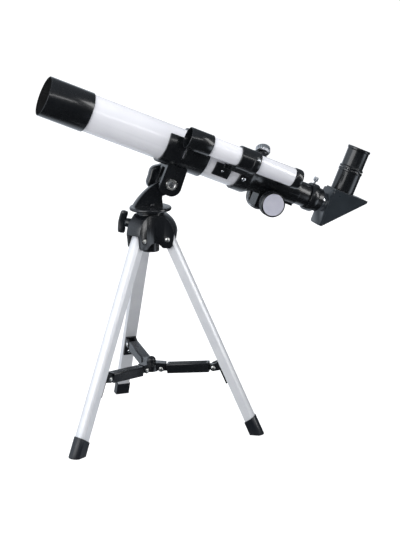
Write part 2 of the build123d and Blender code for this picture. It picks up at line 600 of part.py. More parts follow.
with BuildPart() as collar_screws:
    for angle in COLLAR_SCREW_ANGLES:
        out = spoke(COLLAR_SCREW_STATION, angle)
        screw(out, 21.6, COLLAR_RADIUS + RUNNING, COLLAR_SCREW_RADIUS, 2.9, 1.7)
save(collar_screws.part, "collar_screws")

with BuildPart() as pinion_cover:
    block(TUBE, (160.0, 192.5), (HOUSING_BOTTOM - 2.6, HOUSING_BOTTOM - CLOSE), (-11.0, 11.0))
    cover_edges = pinion_cover.edges().group_by(Axis(TUBE.origin, UPRIGHT))[0]
    fillet(cover_edges, 1.6)
save(pinion_cover.part, "pinion_cover")

with BuildPart() as drawtube:
    ring(TUBE, DRAW_FRONT, DRAW_REAR, DRAW_RADIUS, DRAW_BORE)
    block(TUBE, (RACK_FRONT, RACK_REAR), (-20, -10), (-RACK_HALF_WIDTH - CLOSE, RACK_HALF_WIDTH + CLOSE),
          Mode.SUBTRACT)
save(drawtube.part, "drawtube")

PITCH = pi * MODULE
RACK_ROOT = RACK_PITCH_LINE + 1.25 * MODULE
RACK_TIP = RACK_PITCH_LINE - MODULE
HALF_TIP = PITCH / 4 - MODULE * tan(radians(20)) - BACKLASH / 2
HALF_ROOT = PITCH / 4 + 1.25 * MODULE * tan(radians(20)) - BACKLASH / 2

with BuildPart() as rack:
    block(TUBE, (RACK_FRONT + CLOSE, RACK_REAR - CLOSE), (RACK_ROOT, -DRAW_BORE - 0.15),
          (-RACK_HALF_WIDTH, RACK_HALF_WIDTH))
    first = int((RACK_FRONT + 2 - PINION_STATION) / PITCH)
    last = int((RACK_REAR - 3 - PINION_STATION) / PITCH)
    for tooth in range(first, last + 1):
        centre = PINION_STATION + (tooth + 0.5) * PITCH
        slab(TUBE, [(centre - HALF_ROOT, RACK_ROOT + 0.05), (centre - HALF_TIP, RACK_TIP),
                    (centre + HALF_TIP, RACK_TIP), (centre + HALF_ROOT, RACK_ROOT + 0.05)],
             -RACK_HALF_WIDTH, RACK_HALF_WIDTH)
save(rack.part, "rack")

with BuildPart() as drawtube_collar:
    turned([(DRAW_REAR + CLOSE, NOSE_RADIUS + RUNNING), (246.0, NOSE_RADIUS + RUNNING), (246.0, 14.6),
            (245.2, 15.4), (238.6, 15.4), (238.0, 17.7), (237.2, 18.3), (228.4, 18.3),
            (DRAW_REAR + CLOSE, 17.6)], TUBE)
    ring(TUBE, DRAW_REAR - 6, DRAW_REAR + 0.1, DRAW_BORE - CLOSE, NOSE_RADIUS + RUNNING)
    ring(spoke(231.0, 90), 10, 25, 1.5 + RUNNING, mode=Mode.SUBTRACT)
save(drawtube_collar.part, "drawtube_collar")

with BuildPart() as drawtube_thumbscrew:
    thumb = spoke(231.0, 90)
    ring(thumb, NOSE_RADIUS + 0.15, 22.0, 1.5)
    turned([(21.5, 0), (21.5, 2.6), (22.2, 3.2), (26.4, 3.2), (27.2, 2.4), (27.2, 0)], thumb)
save(drawtube_thumbscrew.part, "drawtube_thumbscrew")


def gear_outline(teeth, module, backlash):
    """Points around an involute pinion, with its first tooth on the +y axis."""
    pitch_radius = module * teeth / 2
    base = pitch_radius * cos(radians(20))
    root = pitch_radius - 1.25 * module
    tip = pitch_radius + module

    def roll(radius):
        angle = acos(min(1.0, base / radius))
        return tan(angle) - angle

    half = pi / (2 * teeth) - backlash / (2 * pitch_radius)
    flank = [(root, half + roll(pitch_radius))]
    for radius in (base, (base + pitch_radius) / 2, pitch_radius, (pitch_radius + tip) / 2, tip):
        flank.append((radius, half + roll(pitch_radius) - roll(radius)))
    points = []
    for tooth in range(teeth):
        middle = 2 * pi * tooth / teeth
        for radius, angle in flank:
            points.append((radius * sin(middle - angle), radius * cos(middle - angle)))
        for radius, angle in reversed(flank):
            points.append((radius * sin(middle + angle), radius * cos(middle + angle)))
    return points


with BuildPart() as pinion_shaft:
    gear_plane = Plane(origin=PINION.origin, x_dir=REARWARD, z_dir=(0, -1, 0))
    slab(gear_plane, gear_outline(PINION_TEETH, MODULE, BACKLASH), -3.0, 3.0)
    ring(PINION, -KNOB_OUTER + 3, KNOB_OUTER - 3, SHAFT_RADIUS)
save(pinion_shaft.part, "pinion_shaft")


def focus_knob(side):
    """A knurled focus knob with a hub towards the housing and a recess for its cap."""
    ring(PINION, side * 11.3, side * (KNOB_INNER + 1), 5.0)
    ring(PINION, side * KNOB_INNER, side * KNOB_OUTER, KNOB_RADIUS)
    ring(PINION, side * (KNOB_INNER - 1), side * (KNOB_INNER + 6), 13.5, 5.0, Mode.SUBTRACT)
    ring(PINION, side * (KNOB_OUTER - 1.2), side * (KNOB_OUTER + 1), 14.25, mode=Mode.SUBTRACT)
    ring(PINION, side * 10, side * (KNOB_OUTER - 2.95), SHAFT_RADIUS + CLOSE, mode=Mode.SUBTRACT)


with BuildPart() as focus_knob_near:
    focus_knob(-1)
save(focus_knob_near.part, "focus_knob_near")

with BuildPart() as focus_knob_far:
    focus_knob(1)
save(focus_knob_far.part, "focus_knob_far")

with BuildPart() as knob_caps:
    for side in (1, -1):
        ring(PINION, side * (KNOB_OUTER - 1.18), side * (KNOB_OUTER - 0.1), 14.2)
save(knob_caps.part, "knob_caps")


# ---------------------------------------------------------------- diagonal
with BuildPart() as diagonal_nosepiece:
    ring(TUBE, 226.0, PLATE_FRONT - CLOSE, NOSE_RADIUS, 11.2)
save(diagonal_nosepiece.part, "diagonal_nosepiece")

HOUSING = [
    (PRISM_FRONT, PRISM_BOTTOM), (PRISM_TIP, PRISM_TOP - 1.5), (PRISM_TIP, PRISM_TOP),
    (PRISM_FRONT, PRISM_TOP)
]
INSIDE = [
    (PRISM_FRONT + 1.4, -25.0), (PRISM_FRONT + 1.4, PRISM_TOP + 1), (299.3, PRISM_TOP + 1),
    (299.3, PRISM_TOP - 2)
]

with BuildPart() as diagonal_housing:
    slab(TUBE, HOUSING, -PRISM_HALF_WIDTH, PRISM_HALF_WIDTH)
    with BuildSketch(crosswise(PLATE_FRONT)) as front_plate:
        with Locations((0, (PRISM_TOP + PRISM_BOTTOM) / 2)):
            RectangleRounded(2 * PRISM_HALF_WIDTH + 0.8, PRISM_TOP - PRISM_BOTTOM, 4.0)
    extrude(front_plate.sketch, amount=PRISM_FRONT - PLATE_FRONT)
    slab(TUBE, INSIDE, -PRISM_HALF_WIDTH + 1.6, PRISM_HALF_WIDTH - 1.6, Mode.SUBTRACT)
    ring(TUBE, PLATE_FRONT - 1, PRISM_FRONT + 2, 11.2, mode=Mode.SUBTRACT)
save(diagonal_housing.part, "diagonal_housing")

COVER_THICKNESS = 1.8

with BuildPart() as diagonal_cover:
    block(TUBE, (PRISM_FRONT + 0.2, PRISM_TIP + 0.3), (PRISM_TOP + CLOSE, PRISM_TOP + COVER_THICKNESS),
          (-PRISM_HALF_WIDTH - 0.2, PRISM_HALF_WIDTH + 0.2))
    ring(EYEPIECE, 0, 40, 11.4, mode=Mode.SUBTRACT)
save(diagonal_cover.part, "diagonal_cover")

with BuildPart() as prism:
    slab(TUBE, [(PRISM_FRONT + 1.6, -21.5), (PRISM_FRONT + 1.6, 18.6), (296.0, 18.6)], -13.0, 13.0)
save(prism.part, "prism")

SOCKET_FOOT = PRISM_TOP + COVER_THICKNESS + CLOSE
with BuildPart() as eyepiece_socket:
    turned([(SOCKET_FOOT, NOSE_RADIUS + RUNNING), (52.0, NOSE_RADIUS + RUNNING), (52.0, 15.6), (51.2, 16.0),
            (48.6, 16.0), (48.0, 15.4), (SOCKET_FOOT, 15.4)], EYEPIECE)
save(eyepiece_socket.part, "eyepiece_socket")

with BuildPart() as eyepiece_barrel:
    turned([(30.0, 11.2), (58.0, 11.2), (58.0, NOSE_RADIUS), (30.0, NOSE_RADIUS)], EYEPIECE)
save(eyepiece_barrel.part, "eyepiece_barrel")

with BuildPart() as eyepiece_body:
    turned([(52.4, NOSE_RADIUS + CLOSE), (58.05, NOSE_RADIUS + CLOSE), (58.05, 11.2), (74.0, 11.2),
            (74.0, 8.0), (80.0, 8.0), (82.0, 11.5), (82.0, 14.6), (81.4, 15.3), (78.8, 15.3),
            (77.8, 14.5), (56.0, 14.4), (55.0, 15.9), (52.9, 16.0), (52.4, 15.5)], EYEPIECE)
save(eyepiece_body.part, "eyepiece_body")

with BuildPart() as eyepiece_lenses:
    lens(EYEPIECE, 38.0, 38.8, 40.0, 42.2, 11.0)
    lens(EYEPIECE, 69.4, 70.2, 71.4, 73.4, 11.0)
save(eyepiece_lenses.part, "eyepiece_lenses")


# ---------------------------------------------------------------- finder scope
with BuildPart() as finder_tube:
    ring(FINDER, 58.0, 182.0, FINDER_RADIUS, FINDER_RADIUS - 1.0)
save(finder_tube.part, "finder_tube")

with BuildPart() as finder_cup:
    turned([(34.0, 12.6), (57.0, 12.6), (57.0, 11.2), (57.98, 11.2), (57.98, FINDER_RADIUS + CLOSE),
            (65.0, FINDER_RADIUS + CLOSE), (65.0, 13.3), (64.6, 13.6), (34.4, 13.6), (34.0, 13.3)], FINDER)
save(finder_cup.part, "finder_cup")

with BuildPart() as finder_objective:
    lens(FINDER, 58.2, 59.4, 61.0, 61.6, FINDER_RADIUS - 1.1)
save(finder_objective.part, "finder_objective")

with BuildPart() as finder_eyepiece:
    turned([(172.0, 9.0), (182.1, 9.0), (182.1, 7.0), (190.5, 5.0), (193.0, 8.0), (193.6, 10.5),
            (193.0, 12.2), (190.5, 13.0), (184.0, 13.0), (182.1, 12.6),
            (182.1, FINDER_RADIUS - 1.0 - RUNNING), (172.0, FINDER_RADIUS - 1.0 - RUNNING)], FINDER)
save(finder_eyepiece.part, "finder_eyepiece")

with BuildPart() as finder_eye_lens:
    lens(FINDER, 177.6, 179.8, 181.2, 181.8, 8.9)
save(finder_eye_lens.part, "finder_eye_lens")

HOLDER_FRONT = 104.0
HOLDER_REAR = 131.0
KNOB_STATION = 139.0
KNOB_ANGLE = 45.0
ADJUSTER = spoke(KNOB_STATION, KNOB_ANGLE, FINDER_V, FINDER_Y)
NEAR_SCREW = spoke(127.0, 158.0, FINDER_V, FINDER_Y)
FOOT_SCREW = spoke(97.0, 197.0)

with BuildPart() as finder_bracket:
    turned([(HOLDER_FRONT, FINDER_RADIUS + CLOSE), (HOLDER_REAR, FINDER_RADIUS + CLOSE), (HOLDER_REAR, 14.6),
            (HOLDER_REAR - 0.6, 15.0), (122.5, 15.0), (122.0, 14.5), (HOLDER_FRONT + 0.5, 14.5),
            (HOLDER_FRONT, 14.0)], FINDER)
    with BuildSketch(crosswise(86.0)) as foot_arc:
        Circle(TUBE_RADIUS + 2.4)
        Circle(TUBE_RADIUS + CLOSE, mode=Mode.SUBTRACT)
        with BuildLine():
            Polyline((0, 0), (-60, 3.2), (-60, -45), close=True)
        make_face(mode=Mode.INTERSECT)
    extrude(foot_arc.sketch, amount=22.0)
    slab(crosswise(96.0), [(-24.2, -2.5), (-29.0, -2.5), (-29.0, 3.0), (-24.2, 3.0)], 0, 13.0)
    slab(crosswise(101.0), [(-26.4, -2.5), (-36.0, -2.5), (-44.0, 5.0), (-31.0, 9.0), (-26.2, 4.5)],
         0, HOLDER_REAR - 101.5)
    arm_start = HOLDER_REAR - 4.5
    knob_arm = spoke(arm_start, KNOB_ANGLE, FINDER_V, FINDER_Y)
    slab(knob_arm, [(12.5, -4.5), (17.0, -4.5), (17.0, 4.5), (12.5, 4.5)], 0, KNOB_STATION - arm_start)
    ring(ADJUSTER, 11.0, 20.0, 5.0)
    ring(FINDER, HOLDER_FRONT - 20, KNOB_STATION + 8, FINDER_RADIUS + CLOSE, mode=Mode.SUBTRACT)
    ring(ADJUSTER, 10.0, 22.0, 2.0 + RUNNING, mode=Mode.SUBTRACT)
    ring(NEAR_SCREW, 10.0, 20.0, 1.52, mode=Mode.SUBTRACT)
    ring(FOOT_SCREW, 20.0, 30.0, 1.22, mode=Mode.SUBTRACT)
save(finder_bracket.part, "finder_bracket")

with BuildPart() as finder_screws:
    screw(NEAR_SCREW, FINDER_RADIUS + 0.04, 15.05, 1.5, 2.5, 1.5)
    screw(FOOT_SCREW, TUBE_RADIUS + 0.04, TUBE_RADIUS + 2.42, 1.2, 2.0, 1.0)
save(finder_screws.part, "finder_screws")

with BuildPart() as finder_knob:
    ring(ADJUSTER, FINDER_RADIUS + 0.06, 22.0, 2.0)
    turned([(21.0, 0), (21.0, 8.4), (21.8, 9.4), (28.0, 9.4), (29.4, 7.8), (29.8, 0)], ADJUSTER)
save(finder_knob.part, "finder_knob")
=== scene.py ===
import json
import math

import bmesh
import bpy
from mathutils import Matrix, Vector


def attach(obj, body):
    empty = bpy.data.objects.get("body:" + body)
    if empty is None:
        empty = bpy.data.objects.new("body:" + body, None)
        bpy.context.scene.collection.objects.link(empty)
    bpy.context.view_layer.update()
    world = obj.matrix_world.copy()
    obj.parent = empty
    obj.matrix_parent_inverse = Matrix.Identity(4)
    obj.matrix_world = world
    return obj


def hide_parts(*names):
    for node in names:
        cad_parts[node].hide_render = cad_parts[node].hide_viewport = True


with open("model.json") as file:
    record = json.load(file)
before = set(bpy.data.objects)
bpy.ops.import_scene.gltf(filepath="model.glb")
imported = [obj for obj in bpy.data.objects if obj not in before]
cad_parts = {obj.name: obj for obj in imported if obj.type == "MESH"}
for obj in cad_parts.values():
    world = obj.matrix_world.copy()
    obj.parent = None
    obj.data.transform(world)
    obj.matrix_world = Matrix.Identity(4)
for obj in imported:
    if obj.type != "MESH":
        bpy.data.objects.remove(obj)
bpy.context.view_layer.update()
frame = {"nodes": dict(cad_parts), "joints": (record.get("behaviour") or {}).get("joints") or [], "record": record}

NODES = frame["nodes"]
JOINTS = {joint["name"]: joint for joint in frame["joints"]}
SLOTS = {entry["node"]: entry["material_slot"] for entry in frame["record"]["subparts"]}
BODIES = {node: body for body, nodes in frame["record"]["behaviour"]["bodies"].items() for node in nodes}

# Scene lengths are metres; outlines and other values that are multiplied by MM are millimetres.
# The tube's own directions and the pivots come from the joints.
MM = 0.001
REARWARD = Vector(JOINTS["focus"]["axis"]).normalized()
UPRIGHT = Vector(JOINTS["draw_clamp_turn"]["axis"]).normalized()
ACROSS = Vector((0, 1, 0))
VERTICAL = Vector((0, 0, 1))
TUBE_TILT = math.radians(22.5)
LEG_LEAN = math.radians(24.4)
LEG_AZIMUTHS = {"right": -27.2, "rear": 92.8, "front": 212.8}


# ---------------------------------------------------------------- finishes
class Shader:
    """A material whose nodes are added one call at a time."""

    def __init__(self, name):
        self.material = bpy.data.materials.new(name)
        self.material.use_nodes = True
        self.nodes = self.material.node_tree.nodes
        self.links = self.material.node_tree.links
        self.surface = self.nodes["Principled BSDF"]
        self.place = self.nodes.new("ShaderNodeTexCoord").outputs["Object"]

    def put(self, socket, value):
        """Join a socket to another, or give it a plain value."""
        if isinstance(value, bpy.types.NodeSocket):
            self.links.new(value, socket)
        elif isinstance(value, tuple) and len(value) == 3 and socket.type == "RGBA":
            socket.default_value = (*value, 1.0)
        else:
            socket.default_value = value

    def add(self, kind, output=0, settings=None, **inputs):
        """A new node; its inputs are named in lower case with underscores for spaces."""
        node = self.nodes.new(kind)
        for key, value in (settings or {}).items():
            setattr(node, key, value)
        for key, value in inputs.items():
            socket = next(s for s in node.inputs if s.name.lower().replace(" ", "_") == key and s.enabled)
            self.put(socket, value)
        return node.outputs[output]

    def finish(self, **inputs):
        """Set the surface shader's inputs and return the material."""
        for key, value in inputs.items():
            socket = next(s for s in self.surface.inputs if s.name.lower().replace(" ", "_") == key)
            self.put(socket, value)
        return self.material

    def stretch(self, scale, rotation):
        """Object coordinates, turned and then scaled."""
        turned = self.add("ShaderNodeMapping", vector=self.place, rotation=rotation)
        return self.add("ShaderNodeMapping", vector=turned, scale=scale)

    def noise(self, size, detail=4.0, roughness=0.55, vector=None):
        """Noise from 0 to 1 with features of about that size in metres."""
        vector = vector or self.place
        return self.add("ShaderNodeTexNoise", vector=vector, scale=1 / size, detail=detail,
                        roughness=roughness)

    def ramp(self, factor, low, high, start=0.0, end=1.0):
        """A number from start to end as factor goes from low to high."""
        return self.add("ShaderNodeMapRange", value=factor, from_min=low, from_max=high, to_min=start,
                        to_max=end)

    def math(self, operation, a, b):
        """One step of arithmetic."""
        node = self.nodes.new("ShaderNodeMath")
        node.operation = operation
        self.put(node.inputs[0], a)
        self.put(node.inputs[1], b)
        return node.outputs[0]

    def mix(self, factor, a, b):
        """A colour between a and b."""
        node = self.nodes.new("ShaderNodeMix")
        node.data_type = "RGBA"
        sockets = [s for s in node.inputs if s.enabled]
        for socket, value in zip(sockets, (factor, a, b)):
            self.put(socket, value)
        return next(s for s in node.outputs if s.enabled)

    def soft_edges(self, radius):
        """A normal that rounds every crease a little."""
        return self.add("ShaderNodeBevel", settings={"samples": 4}, radius=radius)

    def edge_mask(self, soft):
        """Near 1 on creases and 0 on flats, from how far the softened normal leans."""
        true_normal = self.nodes.new("ShaderNodeNewGeometry").outputs["Normal"]
        node = self.nodes.new("ShaderNodeVectorMath")
        node.operation = "DOT_PRODUCT"
        self.put(node.inputs[0], soft)
        self.put(node.inputs[1], true_normal)
        return self.ramp(node.outputs["Value"], 0.995, 0.9)

    def bump(self, height, distance, strength, normal):
        """A normal roughened by a height."""
        return self.add("ShaderNodeBump", height=height, distance=distance, strength=strength, normal=normal)


def moulded_plastic(name, colour, roughness, grain, grain_strength, edge_wear_and_painted_highlight, coat=0.0):
    """Injection-moulded plastic: fine grain, faint flow marks, a trace of dust, and creases painted lighter,
    partly as wear and partly as a painted highlight.
    """
    s = Shader(name)
    soft = s.soft_edges(0.35 * MM)
    edges = s.edge_mask(soft)
    flow = s.noise(22 * MM, detail=3.0)
    dust = s.noise(7 * MM, detail=7.0, roughness=0.62)
    tone = s.mix(s.ramp(flow, 0.35, 0.7), colour, tuple(c * 1.3 + 0.0012 for c in colour))
    tone = s.mix(s.ramp(dust, 0.55, 0.85, 0.0, 0.02), tone, (0.30, 0.30, 0.31))
    # Creases are painted lighter: partly edge wear, partly a painted highlight where edges would catch the light.
    tone = s.mix(s.math("MULTIPLY", edges, edge_wear_and_painted_highlight), tone, (0.10, 0.105, 0.115))
    gloss = s.ramp(s.noise(16 * MM, detail=4.0), 0.3, 0.75, roughness * 0.9, roughness * 1.15)
    normal = s.bump(s.noise(grain, detail=2.0), 0.02 * MM, grain_strength, soft)
    return s.finish(base_color=tone, roughness=gloss, normal=normal, coat_weight=coat, coat_roughness=0.10,
                    specular_ior_level=0.5)


def enamel(name, painted_light_scale=1.0):
    """White baked enamel on metal: slight orange peel, a cool cast and a few faint rub marks."""
    s = Shader(name)
    soft = s.soft_edges(0.3 * MM)
    drift = s.noise(60 * MM, detail=2.0)
    # painted_light_scale paints the whole enamel lighter or darker as painted light; 1.0 leaves it unchanged.
    cool = tuple(painted_light_scale * value for value in (0.80, 0.80, 0.845))
    clean = tuple(painted_light_scale * value for value in (0.845, 0.842, 0.875))
    tone = s.mix(s.ramp(drift, 0.3, 0.7), cool, clean)
    along_tube = s.stretch((60, 900, 900), (0, TUBE_TILT, 0))
    rub = s.noise(1.0, detail=6.0, roughness=0.65, vector=along_tube)
    tone = s.mix(s.ramp(rub, 0.66, 0.8, 0.0, 0.25), tone, (0.66, 0.66, 0.69))
    gloss = s.ramp(rub, 0.35, 0.75, 0.17, 0.30)
    peel = s.noise(1.4 * MM, detail=2.0)
    normal = s.bump(peel, 0.02 * MM, 0.25, soft)
    return s.finish(base_color=tone, roughness=gloss, normal=normal, coat_weight=0.5, coat_roughness=0.06)


def anodised_leg(name, azimuth):
    """A satin aluminium extrusion: die lines run down the leg, with a cloudy anodised film."""
    s = Shader(name)
    soft = s.soft_edges(0.4 * MM)
    turned = s.add("ShaderNodeVectorRotate", settings={"rotation_type": "Z_AXIS"}, vector=s.place,
                   angle=-math.radians(azimuth))
    upright = s.add("ShaderNodeVectorRotate", settings={"rotation_type": "Y_AXIS"}, vector=turned,
                    angle=LEG_LEAN)
    lines = s.add("ShaderNodeMapping", vector=upright, scale=(2600, 2600, 9))
    die_lines = s.add("ShaderNodeTexNoise", vector=lines, scale=1.0, detail=5.0, roughness=0.6)
    cloud = s.noise(18 * MM, detail=4.0)
    tone = s.mix(s.ramp(cloud, 0.3, 0.7), (0.80, 0.81, 0.84), (0.87, 0.875, 0.895))
    tone = s.mix(s.ramp(die_lines, 0.35, 0.75, 0.0, 0.30), tone, (0.66, 0.67, 0.70))
    gloss = s.ramp(die_lines, 0.3, 0.7, 0.34, 0.46)
    normal = s.bump(die_lines, 0.03 * MM, 0.35, soft)
    return s.finish(base_color=tone, metallic=0.25, roughness=gloss, normal=normal)


def plated(name, colour, roughness, streak):
    """Bright plating over turned metal: turning marks and a little haze."""
    s = Shader(name)
    soft = s.soft_edges(0.25 * MM)
    haze = s.noise(1.6 * MM, detail=6.0, roughness=0.7)
    tone = s.mix(s.ramp(haze, 0.4, 0.8, 0.0, 0.5), colour, tuple(0.72 * c for c in colour))
    gloss = s.ramp(haze, 0.3, 0.8, roughness * 0.7, roughness * 1.6)
    marks = s.noise(0.25 * MM, detail=3.0)
    normal = s.bump(marks, 0.02 * MM, streak, soft)
    return s.finish(base_color=tone, metallic=1.0, roughness=gloss, normal=normal)


def lacquered_cap(name):
    """Silver lacquer with a lavender cast and fine flake on the knobs' discs."""
    s = Shader(name)
    soft = s.soft_edges(0.25 * MM)
    flake = s.noise(0.22 * MM, detail=2.0)
    drift = s.noise(9 * MM, detail=3.0)
    tone = s.mix(s.ramp(drift, 0.3, 0.7), (0.68, 0.675, 0.785), (0.74, 0.735, 0.83))
    tone = s.mix(s.ramp(flake, 0.5, 0.8, 0.0, 0.35), tone, (0.78, 0.78, 0.84))
    normal = s.bump(flake, 0.015 * MM, 0.3, soft)
    gloss = s.ramp(flake, 0.3, 0.7, 0.30, 0.42)
    return s.finish(base_color=tone, metallic=0.25, roughness=gloss, normal=normal, coat_weight=0.3)


def coated_glass(name, tint, reflection):
    """Optical glass with a coloured anti-reflection coating and a breath of dust."""
    s = Shader(name)
    dust = s.noise(1.2 * MM, detail=8.0, roughness=0.75)
    gloss = s.ramp(dust, 0.55, 0.85, 0.01, 0.10)
    tone = s.mix(s.ramp(dust, 0.6, 0.9, 0.0, 0.2), tint, (0.8, 0.82, 0.84))
    return s.finish(base_color=tone, transmission_weight=0.92, ior=1.52, roughness=gloss,
                    coat_weight=0.8, coat_tint=reflection)


def rubber(name):
    """Moulded rubber: matt, lightly scuffed and dusty low down."""
    s = Shader(name)
    soft = s.soft_edges(0.8 * MM)
    scuff = s.noise(1.5 * MM, detail=9.0, roughness=0.75)
    height = s.add("ShaderNodeSeparateXYZ", output=2, vector=s.place)
    low = s.ramp(height, 0.012, 0.0, 0.0, 1.0)
    dusty = s.math("MULTIPLY", low, s.ramp(scuff, 0.4, 0.75, 0.0, 0.6))
    tone = s.mix(dusty, (0.008, 0.0105, 0.015), (0.05, 0.05, 0.05))
    normal = s.bump(scuff, 0.08 * MM, 0.4, soft)
    gloss = s.ramp(scuff, 0.3, 0.7, 0.30, 0.42)
    return s.finish(base_color=tone, roughness=gloss, normal=normal)


BLACK = (0.0042, 0.0050, 0.0062)
SATIN_BLACK = (0.0050, 0.0060, 0.0078)
MATERIALS = {
    "white_enamel": enamel("white_enamel"),
    "black_gloss": moulded_plastic("black_gloss", BLACK, 0.26, 2.2 * MM, 0.10, 0.35, coat=0.3),
    "black_satin": moulded_plastic("black_satin", SATIN_BLACK, 0.25, 0.8 * MM, 0.10, 0.35, coat=0.2),
    # The diagonal's black plastic is painted lighter than black_satin as a painted reflection of bright
    # surroundings, with a stronger painted edge highlight.
    "grey_black": moulded_plastic("grey_black", (0.017, 0.022, 0.027), 0.30, 0.8 * MM, 0.10, 0.6, coat=0.2),
    "bright_chrome": plated("bright_chrome", (0.80, 0.81, 0.83), 0.10, 0.1),
    "steel": plated("steel", (0.52, 0.53, 0.55), 0.28, 0.3),
    "zinc": plated("zinc", (0.78, 0.77, 0.74), 0.30, 0.2),
    "cap_silver": lacquered_cap("cap_silver"),
    "optical_glass": coated_glass("optical_glass", (0.90, 0.95, 0.97), (0.62, 0.45, 0.85)),
    "brass": plated("brass", (0.78, 0.58, 0.26), 0.25, 0.2),
    "foot_rubber": rubber("foot_rubber"),
    "flat_black": moulded_plastic("flat_black", (0.004, 0.0045, 0.005), 0.75, 0.4 * MM, 0.3, 0.1),
}
# Nodes whose finish differs from their slot's usual one.
# The finder tube gets a 4% lighter copy of the same white enamel: painted light, not a different paint.
FINISHES = {"finder_tube": enamel("white_enamel_finder", 1.04)}
# The diagonal's lighter black is painted reflection; the zinc is the fittings' own colour.
for nodes, finish in ((("diagonal_housing", "diagonal_cover"), "grey_black"),
                      (("altitude_nut", "leg_rivets", "hub_rivets", "bracket_rivets"), "zinc")):
    FINISHES.update({node: MATERIALS[finish] for node in nodes})
for place, azimuth in LEG_AZIMUTHS.items():
    FINISHES[f"leg_{place}"] = anodised_leg(f"leg_aluminium_{place}", azimuth)


def paint_frame():
    """Give every CAD node its own finish, or else its slot's."""
    for name, slot in SLOTS.items():
        materials = NODES[name].data.materials
        materials.clear()
        materials.append(FINISHES.get(name) or MATERIALS[slot])


# Bevel widths in millimetres, by the start of a node's name.
EDGE_ROUNDING = {"foot": 1.1, "tripod_head": 0.5, "yoke": 0.5, "saddle": 0.4, "brace_hub": 0.4}
USUAL_ROUNDING = 0.28
TOOTHED = ("pinion_shaft", "rack")


def ease_edges():
    """Round the CAD nodes' sharp edges a little, so that they catch the light; gear teeth stay crisp."""
    for name, node in NODES.items():
        if name in TOOTHED:
            continue
        weld = node.modifiers.new("weld", "WELD")
        weld.merge_threshold = 0.002 * MM
        flat = node.modifiers.new("flat", "DECIMATE")
        flat.decimate_type = "DISSOLVE"
        flat.angle_limit = math.radians(0.5)
        bevel = node.modifiers.new("bevel", "BEVEL")
        rounding = [width for start, width in EDGE_ROUNDING.items() if name.startswith(start)]
        bevel.width = (rounding[0] if rounding else USUAL_ROUNDING) * MM
        bevel.segments = 2
        bevel.limit_method = "ANGLE"
        bevel.angle_limit = math.radians(38)


# ---------------------------------------------------------------- turned pieces
# Stations are millimetres rearward along the tube's axis from the point above the tripod's centre.
TUBE_CENTRE = Vector((0, 0, 382.7)) * MM
FINDER_OFFSET = (UPRIGHT * 17.0 - ACROSS * 37.5) * MM
COLLAR_STATION = 127.5
FINDER_HOLDER_STATION = 127.0
FINDER_KNOB_STATION = 139.0
FINDER_FOOT_STATION = 97.0
THUMBSCREW_STATION = 231.0
PINION_CENTRE = Vector(JOINTS["focus_knob_turn"]["pos_m"])
PIVOT = Vector(JOINTS["altitude"]["pos_m"])
LOCK_OUT = Vector(JOINTS["azimuth_lock_turn"]["axis"]).normalized()
LOCK_FOOT = Vector(JOINTS["azimuth_lock_turn"]["pos_m"]) - LOCK_OUT * 30.0 * MM
NUT_ACROSS_FLATS = 12.99
STAR_LOBES = 6
STAR_PHASE = math.radians(13)
QUARTER = math.pi / 2


def at(station):
    """A point on the tube's axis."""
    return TUBE_CENTRE + REARWARD * station * MM


def round_tube(angle):
    """The direction out from the tube's axis, 0 degrees at the far side and 90 at the top."""
    turn = math.radians(angle)
    return ACROSS * math.cos(turn) + UPRIGHT * math.sin(turn)


def finish_of(node):
    """The material that the node was painted with."""
    return NODES[node].data.materials[0]


def go_with(piece, node):
    """Let this piece ride on the node's own body."""
    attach(piece, BODIES[node])


def stand_in(piece, node):
    """Show this piece in place of a CAD node."""
    go_with(piece, node)
    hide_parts(node)


def smooth_object(name, vertices, faces, material):
    """A clean, smooth-shaded object with its sharp creases kept."""
    mesh = bpy.data.meshes.new(name)
    mesh.from_pydata(vertices, [], faces)
    welded = bmesh.new()
    welded.from_mesh(mesh)
    bmesh.ops.remove_doubles(welded, verts=welded.verts, dist=0.0005 * MM)
    bmesh.ops.recalc_face_normals(welded, faces=welded.faces)
    welded.to_mesh(mesh)
    welded.free()
    mesh.polygons.foreach_set("use_smooth", [True] * len(mesh.polygons))
    mesh.set_sharp_from_angle(angle=math.radians(32))
    mesh.materials.append(material)
    piece = bpy.data.objects.new(name, mesh)
    bpy.context.scene.collection.objects.link(piece)
    return piece


def turning(outline, origin, axis, start=None, segments=144, shape=None):
    """Vertices and faces of (distance, radius) millimetre points turned about an axis.

    shape may move a point: it is given the distance, radius and angle and returns the first two.
    """
    axis = axis.normalized()
    across = start or axis.orthogonal()
    across = (across - axis * across.dot(axis)).normalized()
    side = axis.cross(across)
    vertices, faces = [], []
    for distance, radius in outline:
        for step in range(segments):
            angle = 2 * math.pi * step / segments
            reach = (distance, radius) if shape is None else shape(distance, radius, angle)
            direction = across * math.cos(angle) + side * math.sin(angle)
            vertices.append(origin + axis * reach[0] * MM + direction * reach[1] * MM)
    rings = len(outline)
    for index in range(rings):
        below, above = index * segments, (index + 1) % rings * segments
        for step in range(segments):
            after = (step + 1) % segments
            faces.append((below + step, below + after, above + after, above + step))
    return vertices, faces


def lathe(name, outline, origin, axis, material, **turning_options):
    """One turned piece."""
    return smooth_object(name, *turning(outline, origin, axis, **turning_options), material)


def gather(name, parts, material):
    """One object from several sets of vertices and faces."""
    vertices, faces = [], []
    for more_vertices, more_faces in parts:
        offset = len(vertices)
        vertices += more_vertices
        faces += [tuple(offset + corner for corner in face) for face in more_faces]
    return smooth_object(name, vertices, faces, material)


